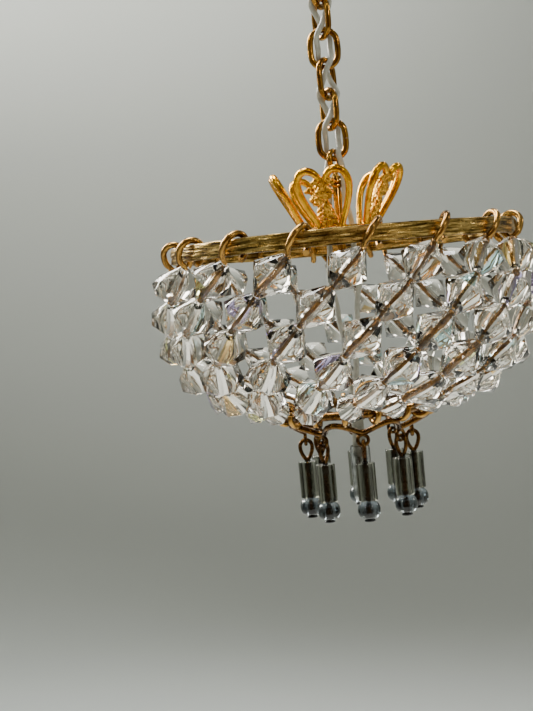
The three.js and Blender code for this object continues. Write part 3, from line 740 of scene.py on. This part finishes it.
# -------- crown
PETAL_WIRE = (  # one side of a petal's outline: sideways, up the petal, half the wire's width
    (1.25, -0.5, 0.48), (1.75, 0.9, 0.48), (2.4, 2.4, 0.48), (3.05, 4.0, 0.5), (3.5, 5.6, 0.52),
    (3.6, 7.0, 0.54), (3.2, 8.2, 0.55), (2.3, 8.8, 0.55), (1.35, 8.6, 0.55), (0.7, 7.95, 0.5),
    (0.4, 7.2, 0.42),
)
CARVING = (  # balls of the carved column: sideways, up, half-width, half-height, turn
    (0.0, 7.3, 0.42, 0.5, 0), (0.85, 7.45, 0.66, 0.36, 40), (1.4, 6.95, 0.42, 0.34, -35),
    (0.7, 6.75, 0.36, 0.3, 0), (0.0, 6.45, 0.42, 0.36, 0), (0.6, 6.0, 0.44, 0.36, 42),
    (0.98, 5.45, 0.34, 0.45, 8), (0.36, 5.4, 0.34, 0.42, 0), (0.6, 4.8, 0.42, 0.34, -40),
    (0.0, 4.7, 0.36, 0.36, 0), (0.0, 4.0, 0.42, 0.42, 0), (0.4, 3.55, 0.46, 0.24, 58),
    (0.0, 3.2, 0.34, 0.34, 0), (0.55, 2.75, 0.56, 0.27, 52), (0.0, 2.45, 0.34, 0.4, 0),
    (0.75, 1.85, 0.66, 0.3, 48), (0.0, 1.6, 0.4, 0.45, 0), (0.85, 0.95, 0.66, 0.34, 36),
    (0.0, 0.6, 0.5, 0.5, 0), (0.9, 0.2, 0.5, 0.3, 20),
)
CARVING_DEPTH = 0.46
CARVING_Y = -0.05  # of the balls; their spine lies as far on the other side
SPINE_WIRE = 0.36
SPINE_ENDS = (-0.3, 7.0)


def petal_outline():
    """The two curled wires of a heart-shaped petal, in the XZ plane."""
    shell = Shell()
    for side in (-1, 1):
        line = smooth_line([(side * x, 0, z) for x, z, _ in PETAL_WIRE], 5)
        widths = smooth_line([(width, 0, 0) for _, _, width in PETAL_WIRE], 5)
        shell.join(sweep(line, [width.x for width in widths], 14, up=ALONG_Y))
    return shell


def petal_carving():
    """The carved column between a petal's wires."""
    shell = sweep([(0, -CARVING_Y, height) for height in SPINE_ENDS], SPINE_WIRE, 8, up=ALONG_Y)
    for side in (-1, 1):
        for x, z, wide, tall, turn in CARVING:
            if x > 0 or side > 0:
                shell.join(ball((side * x, CARVING_Y, z), (wide, CARVING_DEPTH, tall), side * turn))
    return shell


def make_crown():
    """A pierced base and leaning petals: the wires are one casting, and the carvings another."""
    bottom = RIM + HUB_TOP + GAP
    top = bottom + CROWN_THICKNESS
    crown = turned([
        (CROWN_BASE_HOLE, bottom), (CROWN_BASE_RADIUS - 0.2, bottom),
        *arc((CROWN_BASE_RADIUS - 0.3, bottom + 0.3), 0.3, -60, 60, 4),
        (CROWN_BASE_RADIUS - 0.6, top - 0.15), (CROWN_BASE_HOLE, top - 0.1),
    ], 72, closed=True)
    lean = Matrix.Rotation(math.radians(CROWN_TILT), 4, "X")
    foot = Matrix.Translation((0, CROWN_THICKNESS - CROWN_BASE_RADIUS, bottom + CROWN_THICKNESS / 2))
    carving = Shell()
    for index in range(CROWN_PETALS):
        spin = turn_z(CROWN_FIRST_PETAL + 360 / CROWN_PETALS * index)
        crown.join(petal_outline().move(spin @ foot @ lean))
        carving.join(petal_carving().move(spin @ foot @ lean))
    fused("crown_cast", crown, "fixture", [CROWN_GOLD], ["crown"], voxel=0.14, rounds=3)
    fused("crown_carving", carving, "fixture", [CARVED_GOLD], ["crown"], voxel=0.11, rounds=1)


make_crown()


# -------- rim and spider
RIM_SEAM = 22.5  # degrees from the front, where the ends of the band meet
RIM_SEAM_STEP = 0.12
RIM_STEPS = 420
RIM_EDGE = 0.12  # height of the rounding at the band's edges
RIM_TOP_HALF = 0.3  # half the width of the flat top and bottom edges
RIDGE_DEPTH = 0.17
RIDGE_SINK = 0.06  # the ridged faces lie this much inside the plain band
RIDGES_AROUND = 3.2  # ridges are long: few features round the band, and more across its height
RIDGES_ACROSS = 2.6
FINE_RIDGES = (0.6, 3, 6.0)  # strength, and features round and across, of the finer ridges
RIM_WAVE = 0.05


def rim_section():
    """(distance from the middle of the band, height, roughness) once round its section."""
    half = RIM_HEIGHT / 2
    face = RIM_HEIGHT - 2 * RIM_EDGE
    section = []
    for step in range(13):
        section.append((RIM_THICKNESS / 2, half - RIM_EDGE - face * step / 12, 1.0))
    section += [(RIM_TOP_HALF, -half + 0.02, 0.3), (-RIM_TOP_HALF, -half + 0.02, 0.3)]
    for step in range(7):
        section.append((-RIM_THICKNESS / 2, -half + RIM_EDGE + face * step / 6, 0.6))
    section += [(-RIM_TOP_HALF, half - 0.02, 0.3), (RIM_TOP_HALF, half - 0.02, 0.3)]
    return section


def make_rim():
    """The band's face is drawn into long ridges like bark, and its ends meet in a small step."""
    section = rim_section()
    strength, fine_around, fine_across = FINE_RIDGES
    corners = []
    for index in range(RIM_STEPS):
        share = index / RIM_STEPS
        azimuth = RIM_SEAM + 360 * share
        long_way = sideways(azimuth) * RIDGES_AROUND
        wave = RIM_WAVE * noise.noise(long_way * 2 + Vector((0, 9, 0)))
        for across, height, rough in section:
            ridge = noise.noise(long_way + UP * height * RIDGES_ACROSS)
            ridge += strength * noise.noise(long_way * fine_around + Vector((0, 5, height * fine_across)))
            push = rough * (RIDGE_DEPTH * ridge - RIDGE_SINK) + RIM_SEAM_STEP * (share - 0.5) / 2
            side = 1 if across > 0 else -1
            corners.append(at(azimuth, RIM_RADIUS + across + side * push, RIM + height + wave))
    shell = Shell().add(corners, grid_faces(RIM_STEPS, len(section), True, True))
    piece("rim_band", shell, "fixture", [RIM_GOLD], ["rim_ring"], sharp=75)


def bevelled(node, name, body, material, width):
    """A copy of a CAD node with its edges rounded."""
    made = add_object(name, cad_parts[node].data.copy())
    work = bmesh.new()
    work.from_mesh(made.data)
    bmesh.ops.remove_doubles(work, verts=work.verts, dist=1e-7)
    bmesh.ops.dissolve_limit(work, angle_limit=math.radians(2), verts=work.verts, edges=work.edges)
    work.to_mesh(made.data)
    work.free()
    made.data.materials.clear()
    made.data.materials.append(material)
    bevel = made.modifiers.new("bevel", "BEVEL")
    bevel.width = width * MM
    bevel.segments = 3
    bevel.limit_method = "ANGLE"
    bevel.angle_limit = math.radians(40)
    made.data.shade_smooth()
    made.data.set_sharp_from_angle(angle=math.radians(50))
    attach(made, body)
    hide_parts(node)


make_rim()
bevelled("rim_spider", "rim_spider_rounded", "fixture", RIM_GOLD, 0.12)


# -------- crystal strands
def bowl_radius(height):
    tall, power = BOWL_UPPER if height > BOWL_MIDDLE else BOWL_LOWER
    share = abs(height - BOWL_MIDDLE) / tall
    return BOWL_RADIUS * (1 - share ** power) ** (1 / power)


def bead_ends():
    """Where the beads of a strand meet: azimuth from the strand's first, radius, height."""
    step = 0.01  # down the bowl
    ends = [(0.0, bowl_radius(STRAND_TOP), STRAND_TOP)]
    height, turn = STRAND_TOP, 0.0
    for pitch, _, lean in BEADS:
        down = 0.0
        while down < pitch * math.cos(math.radians(lean)):
            radius = bowl_radius(height)
            length = math.hypot(step, bowl_radius(height - step) - radius)
            down += length
            height -= step
            turn -= math.degrees(length * math.tan(math.radians(lean)) / radius)
        ends.append((turn, bowl_radius(height), height))
    return ends


BEAD_ENDS = bead_ends()
FACETS = 8
BEAD_TIP = 0.72  # radius of the flat end of a bead
BEAD_BORE = 0.48
BEAD_APART = 0.07  # from a bead's end to the place where it meets the next
TIP_BEVEL = 0.02
GIRDLE_HALF = 0.09  # half the height of the narrow band round a bead's middle
WIRE_IN_BEAD = 0.34
CORE_BEND = 0.06  # share of a bead's length, at each end, where its wire turns to the next
TOP_LOOP_ENDS = (255, -38)  # degrees from outwards, through upwards
BOTTOM_LOOP_ENDS = (20, -265)


def bicone(start, end, radius, spin):
    """A cut crystal: two cones of flat facets that meet at the girdle, and a drilled bore."""
    axis = (end - start).normalized()
    side = axis.orthogonal().normalized()
    across = axis.cross(side)
    centre = (start + end) / 2
    half = (end - start).length / 2 - BEAD_APART
    rows = (
        (-half, BEAD_BORE), (-half + TIP_BEVEL, BEAD_TIP), (-GIRDLE_HALF, radius),
        (GIRDLE_HALF, radius), (half - TIP_BEVEL, BEAD_TIP), (half, BEAD_BORE),
    )
    corners = []
    for rise, reach in rows:
        for facet in range(FACETS):
            angle = math.radians(spin + 360 / FACETS * facet)
            spoke = side * math.cos(angle) + across * math.sin(angle)
            corners.append(centre + axis * rise + spoke * reach)
    shell = Shell().add(corners, grid_faces(len(rows), FACETS, False, True))
    last = (len(rows) - 1) * FACETS
    for column in range(FACETS):
        beside = (column + 1) % FACETS
        shell.faces.append([last + column, last + beside, beside, column])
        shell.numbers.append(1)
    return shell


def bead_places(azimuth):
    return [at(azimuth + turn, radius, RIM + height) for turn, radius, height in BEAD_ENDS]


def strand_beads(azimuth, seed):
    draw = random.Random(seed)
    shell = Shell()
    places = bead_places(azimuth)
    for index, (_, radius, _) in enumerate(BEADS):
        shell.join(bicone(places[index], places[index + 1], radius, draw.uniform(0, 360 / FACETS)))
    return shell


def loop_line(azimuth, radius, loop, ends, steps, shift):
    """The line of a loop round a ring; shift moves it sideways."""
    start, end = ends
    line = []
    for step in range(steps + 1):
        angle = math.radians(start + (end - start) * step / steps)
        rise = (loop["above"] if math.sin(angle) > 0 else loop["below"]) * math.sin(angle)
        place = at(azimuth, radius + loop["wide"] * math.cos(angle), RIM + loop["height"] + rise)
        line.append(place + sideways(azimuth) * shift(step / steps, rise))
    return line


def strand_wire(azimuth):
    """The wire of one strand: a loop over the rim, a core through the beads, a loop below."""
    lean = math.tan(math.radians(TOP_LEAN))
    over = loop_line(
        azimuth, RIM_RADIUS, TOP_LOOP, TOP_LOOP_ENDS, 26,
        lambda share, rise: lean * (rise + TOP_LOOP["height"] - STRAND_TOP) + LOOP_DRIFT * (1 - share),
    )
    places = bead_places(azimuth)
    under = loop_line(
        azimuth + BEAD_ENDS[-1][0], RING_RADIUS, BOTTOM_LOOP, BOTTOM_LOOP_ENDS, 22,
        lambda share, rise: -RING_DRIFT * share,
    )
    shell = sweep(over + [places[0]], [STRAND_WIRE] * len(over) + [WIRE_IN_BEAD], 12)
    core = []
    for index, place in enumerate(places):
        core.append(place)
        if index + 1 < len(places):
            core += [place.lerp(places[index + 1], share) for share in (CORE_BEND, 1 - CORE_BEND)]
    shell.join(sweep(core, WIRE_IN_BEAD, 12, number=1))
    return shell.join(sweep([places[-1]] + under, [WIRE_IN_BEAD] + [BOTTOM_LOOP_WIRE] * len(under), 12))


TINT = (1.0, 0.965, 0.89)
# painted glints: fixed colours on a few facets, standing in for the coloured fire that light throws in
# coated cut glass
PAINTED_GLINTS = ((1.0, 0.55, 0.12), (0.85, 0.95, 0.25), (0.45, 0.35, 1.0), (0.35, 0.8, 0.95))
PAINTED_GLINT_SHARE = 0.03


def paint_tints_and_glints(made, seed):
    """Give a few facets painted colour glints, fixed colours in place of the coloured fire of a coated
    crystal, and the rest a pale tone.
    """
    draw = random.Random(seed)
    tint_and_glints = made.data.color_attributes.new("tint_and_glints", "FLOAT_COLOR", "CORNER")
    for face in made.data.polygons:
        tone = draw.uniform(0.9, 1.0)
        colour = tuple(tone * part for part in TINT)
        if draw.random() < PAINTED_GLINT_SHARE:
            colour = draw.choice(PAINTED_GLINTS)
        for corner in face.loop_indices:
            tint_and_glints.data[corner].color = (*colour, 1)


def make_strands():
    for index in range(STRAND_COUNT):
        azimuth = FIRST_STRAND + 360 / STRAND_COUNT * index
        node = f"crystal_strand_{index + 1:02d}"
        beads = piece(
            f"strand_beads_{index + 1:02d}", strand_beads(azimuth, index), "fixture",
            [CRYSTAL, BORE_GLASS], [node], flat_numbers=(0,),
        )
        paint_tints_and_glints(beads, 100 + index)
        piece(
            f"strand_wire_{index + 1:02d}", strand_wire(azimuth), "fixture",
            [WIRE_GOLD, CORE_COPPER], [node],
        )


make_strands()


# -------- lower ring and scalloped ring
FIRST_PENDANT = FIRST_STRAND + BEAD_ENDS[-1][0] - 180 / STRAND_COUNT


def make_lower_ring():
    """A wire ring of slightly uneven thickness."""
    steps = 120
    circle = [at(360 / steps * step, RING_RADIUS, RIM + RING_HEIGHT) for step in range(steps)]
    sizes = [RING_WIRE * (1 + 0.04 * math.sin(11 * step)) for step in range(steps)]
    piece("lower_ring_wire", sweep(circle, sizes, 14, True, UP), "fixture",
          [DARK_GOLD], ["lower_ring"])


def make_scalloped_ring():
    """A wavy ring with an eyelet under each inward bend."""
    steps = 24 * SCALLOPS
    wave = []
    for step in range(steps):
        azimuth = 360 * step / steps
        swing = -math.cos(SCALLOPS * math.radians(azimuth - FIRST_PENDANT))
        height = RIM + SCALLOP_HEIGHT + SCALLOP_RISE * swing
        wave.append(at(azimuth, SCALLOP_RADIUS + SCALLOP_SWING * swing, height))
    shell = sweep(wave, SCALLOP_WIRE, 12, True, UP)
    valley = RIM + SCALLOP_HEIGHT - SCALLOP_RISE
    centre = valley - SCALLOP_WIRE - EYELET_RADIUS + EYELET_BITE
    for index in range(SCALLOPS):
        azimuth = FIRST_PENDANT + 360 / SCALLOPS * index
        ring = []
        for step in range(28):
            angle = 2 * math.pi * step / 28
            place = at(azimuth, SCALLOP_RADIUS - SCALLOP_SWING, centre + EYELET_RADIUS * math.sin(angle))
            ring.append(place + sideways(azimuth) * EYELET_RADIUS * math.cos(angle))
        shell.join(sweep(ring, EYELET_WIRE, 10, True, outward(azimuth)))
    piece("scalloped_ring_wire", shell, "fixture", [DARK_GOLD], ["scalloped_ring"])


make_lower_ring()
make_scalloped_ring()


# -------- pendants
LOOP_START = -78  # degrees round the pin's loop, where it leaves the shank
LOOP_TURN = 336
HEAD_ROUND = 0.15
TUBE_ROUND = 0.12


def pendant_pin(tube_top, seed_bottom):
    """A bent head pin in the XZ plane: a pear-shaped eye, a shank, and a domed head."""
    centre = tube_top + LOOP_NECK + LOOP_HALF_HEIGHT
    line = upright([(0, seed_bottom - 0.2), (0, tube_top - 0.6), (0, tube_top)])
    for step in range(37):
        angle = math.radians(LOOP_START + LOOP_TURN * step / 36)
        width = LOOP_HALF_WIDTH * (1 - LOOP_TAPER + LOOP_TAPER * math.sin(angle))
        line.append(Vector((width * math.cos(angle), 0, centre + LOOP_HALF_HEIGHT * math.sin(angle))))
    shell = sweep(line, LOOP_WIRE * 0.95, 10)
    head_top = seed_bottom - HEAD_GAP
    head_low = head_top - HEAD_HEIGHT
    head = turned([
        (0, head_top), (HEAD_RADIUS - 0.12, head_top),
        *arc((HEAD_RADIUS - HEAD_ROUND, head_low + 0.17), HEAD_ROUND, 70, -60, 4),
        (HEAD_RADIUS / 2, head_low + 0.01), (0, head_low),
    ], 24, number=1)
    return shell.join(head)


def pendant_glass(tube_top, seed_top, seed_bottom):
    """The drawn glass tube and the round bead under it, on one bore."""
    edge = TUBE_RADIUS - TUBE_ROUND
    tube = turned([
        (TUBE_BORE, seed_top + 0.12), (edge - 0.03, seed_top + 0.1),
        *arc((edge, seed_top + 2 * TUBE_ROUND), TUBE_ROUND, -90, 0, 3),
        *arc((edge, tube_top - TUBE_ROUND), TUBE_ROUND, 0, 90, 3),
        (TUBE_BORE + 0.1, tube_top), (TUBE_BORE, tube_top - 0.1),
    ], 36, closed=True)
    half = SEED_HEIGHT / 2
    lip = TUBE_BORE + 0.1
    profile = [(TUBE_BORE, seed_bottom)]
    for step in range(17):
        angle = math.radians(-80 + 160 * step / 16)
        profile.append((
            lip + (SEED_RADIUS - lip) * math.cos(angle) ** 0.75,
            seed_bottom + half + half * math.sin(angle),
        ))
    profile.append((TUBE_BORE, seed_top - 0.02))
    seed = turned(profile, 36, 1, closed=True)
    return tube.join(seed)


def glue_plugs(tube_top, seed_top, seed_bottom):
    """Dark glue that fills the ends of the bore around the pin."""
    plugs = Shell()
    reach = TUBE_BORE - 0.02
    ends = (
        (tube_top + 0.12, tube_top - 1.5),
        (seed_top + 0.75, seed_top - 0.5),
        (seed_bottom + 0.8, seed_bottom - 0.08),
    )
    for top, bottom in ends:
        plugs.join(turned([
            (LOOP_WIRE, top - 0.1), (reach * 0.9, top), (reach, top - 0.2),
            (reach, bottom + 0.35), (LOOP_WIRE, bottom),
        ], 20, closed=True))
    return plugs


def make_pendants():
    for index in range(1, SCALLOPS + 1):
        body = f"pendant_{index}"
        beads, pin = f"pendant_beads_{index}", f"pendant_pin_{index}"
        azimuth = FIRST_PENDANT + 360 / SCALLOPS * (index - 1)
        tube_top = high(beads).z
        seed_bottom = low(beads).z
        seed_top = tube_top - TUBE_LENGTH
        centre = middle(beads)
        place = Matrix.Translation((centre.x, centre.y, 0)) @ turn_z(azimuth + 90)
        piece(f"pendant_{index}_pin", pendant_pin(tube_top, seed_bottom).move(place), body,
              [DARK_GOLD, GLUE], [pin])
        piece(f"pendant_{index}_glass", pendant_glass(tube_top, seed_top, seed_bottom).move(place),
              body, [SMOKY_GLASS, SEED_GLASS], [beads])
        piece(f"pendant_{index}_glue", glue_plugs(tube_top, seed_top, seed_bottom).move(place),
              body, [GLUE], [beads])


make_pendants()


# -------- bulb
FILAMENT_SPREAD = 0.5  # from the axis to one lead, where it leaves the sleeve
LEAD_WIRE = 0.17


def make_sleeve():
    """Shrunk tubing, narrower round the flex than round the bulb."""
    top, bottom = high("bulb_sleeve").z, low("bulb_sleeve").z
    sleeve = turned([
        (0, top - 0.05), (0.78, top), (0.86, top - 0.2), (0.84, top - 2.0),
        (0.88, bottom + 3.4), (0.97, bottom + 2.4), (SLEEVE_RADIUS, bottom + 0.25),
        (0.92, bottom), (0, bottom),
    ], 36)
    piece("bulb_sleeve_shrunk", sleeve, "fixture", [SLEEVE_GREY], ["bulb_sleeve"])


def make_bulb_glass():
    """A thin-walled tube, open at the top and round at the tip."""
    crown, tip = high("bulb_glass").z, low("bulb_glass").z
    outside = arc((0, tip + BULB_RADIUS), BULB_RADIUS, -90, 0, 10)
    outside += [(BULB_RADIUS, crown - 0.5), (BULB_RADIUS - 0.12, crown)]
    inner = BULB_RADIUS - BULB_WALL
    inside = [(inner, crown - 0.1)] + arc((0, tip + BULB_RADIUS), inner, 0, -90, 10)
    piece("bulb_glass_blown", turned([*outside, *inside], 48), "fixture",
          [BULB_GLASS], ["bulb_glass"])


def make_filament():
    """Two leads, and the dark bead that holds them."""
    lead_top = high("bulb_filament").z
    lead_low = low("bulb_filament").z
    shell = Shell()
    for side in (-1, 1):
        lead = smooth_line([
            (side * FILAMENT_SPREAD, 0, lead_top), (side * FILAMENT_SPREAD, 0, lead_top - 1.2),
            (side * 0.34, 0, lead_top - 2.2), (side * 0.38, 0, lead_low + 1.0),
        ], 5)
        shell.join(sweep(lead, LEAD_WIRE, 8))
    shell.join(ball((0, 0, lead_top - 2.9), (0.42, 0.3, 0.75)))
    piece("bulb_leads", shell, "fixture", [LEAD_METAL], ["bulb_filament"])


make_sleeve()
make_bulb_glass()
make_filament()


# -------- floor and light
FLOOR = -0.30  # metres, as everything about the stage and its lights
FLOOR_RADIUS = 0.75
WALL_CURVE = 0.40
WALL_TOP = 0.95
WHITE = (1.0, 1.0, 1.0)
WARM = (1.0, 0.96, 0.88)
LAMP = (0, 0, -0.05)  # about the middle of the chandelier, where most lights point
LIGHTS = (  # name, place, target, size, power in watts, spread in degrees, colour
    ("overhead", (-0.12, 0.10, 0.50), LAMP, (0.35, 0.25), 1.7, 100, WHITE),
    ("wall_left", (-0.28, 0.86, 0.34), (-0.26, 1.15, 0.30), (0.7, 0.15), 1.4, 150, (1.0, 1.0, 0.93)),
    ("window", (-0.50, 0.42, 0.34), LAMP, (0.30, 0.40), 2.2, 70, WARM),
    ("floor", (-0.10, 0.50, 0.55), (-0.12, 0.47, -0.3), (0.7, 0.2), 0.45, 40, (0.96, 1.0, 0.98)),
)
SMALL_LIGHTS = (  # place and power of the lamps that sparkle in the cut glass
    (0.22, -0.34, 0.10, 0.17), (-0.30, -0.26, 0.16, 0.17), (-0.34, 0.12, 0.02, 0.16),
    (0.36, 0.06, 0.12, 0.16), (0.05, -0.36, 0.30, 0.14), (0.18, 0.34, 0.24, 0.18),
)
SMALL_LIGHT_SIZE = (0.035, 0.05)
WORLD_COLOUR = (0.84, 0.84, 0.78, 1)
WORLD_STRENGTH = 0.28
CARD_Y = -0.42  # behind the camera
CARD_CORNERS = ((-0.34, -0.28), (0.34, -0.28), (0.34, 0.22), (-0.34, 0.22))  # x and height


def area_light(name, place, target, size, power, spread, colour):
    light = bpy.data.lights.new(name, "AREA")
    light.shape = "RECTANGLE"
    light.size, light.size_y = size
    light.energy = power
    light.spread = math.radians(spread)
    light.color = colour
    lamp = add_object(name, light)
    lamp.location = place
    lamp.rotation_euler = (Vector(target) - Vector(place)).to_track_quat("-Z", "Y").to_euler()


def stage_mesh(name, shell, material):
    mesh = bpy.data.meshes.new(name)
    mesh.from_pydata(shell.corners, [], shell.faces)
    mesh.materials.append(material)
    mesh.shade_smooth()
    made = add_object(name, mesh)
    return made


def make_stage():
    """A pale floor that curves up into a wall, and a dark card that only metal and glass see."""
    profile = [(0.0, FLOOR), (FLOOR_RADIUS, FLOOR)]
    profile += arc((FLOOR_RADIUS, FLOOR + WALL_CURVE), WALL_CURVE, -84, 0, 14)
    profile.append((FLOOR_RADIUS + WALL_CURVE, WALL_TOP))
    paper = Paint("stage_paper", Roughness=0.9)
    paper.set("Base Color", paper.ramp(
        paper.noise(0.002), (0.3, (0.70, 0.72, 0.69)), (0.7, (0.72, 0.74, 0.71))))
    stage_mesh("stage_floor", turned(profile, 96), paper.material)

    dark = Paint("stage_card", Roughness=0.9)
    dark.set("Base Color", dark.ramp(
        dark.noise(0.01), (0.3, (0.10, 0.055, 0.022)), (0.7, (0.13, 0.075, 0.03))))
    corners = [(x, CARD_Y, height) for x, height in CARD_CORNERS]
    card = stage_mesh("stage_dark_card", Shell().add(corners, [(0, 1, 2, 3)]), dark.material)
    card.visible_camera = False
    card.visible_diffuse = False
    card.visible_shadow = False


def make_light():
    world = bpy.data.worlds.new("world")
    world.use_nodes = True
    background = world.node_tree.nodes["Background"]
    background.inputs["Color"].default_value = WORLD_COLOUR
    background.inputs["Strength"].default_value = WORLD_STRENGTH
    bpy.context.scene.world = world
    for light in LIGHTS:
        area_light(*light)
    for number, (x, y, z, power) in enumerate(SMALL_LIGHTS, start=1):
        area_light(f"lamp_{number}", (x, y, z), LAMP, SMALL_LIGHT_SIZE, power, 180, WARM)


make_stage()
make_light()
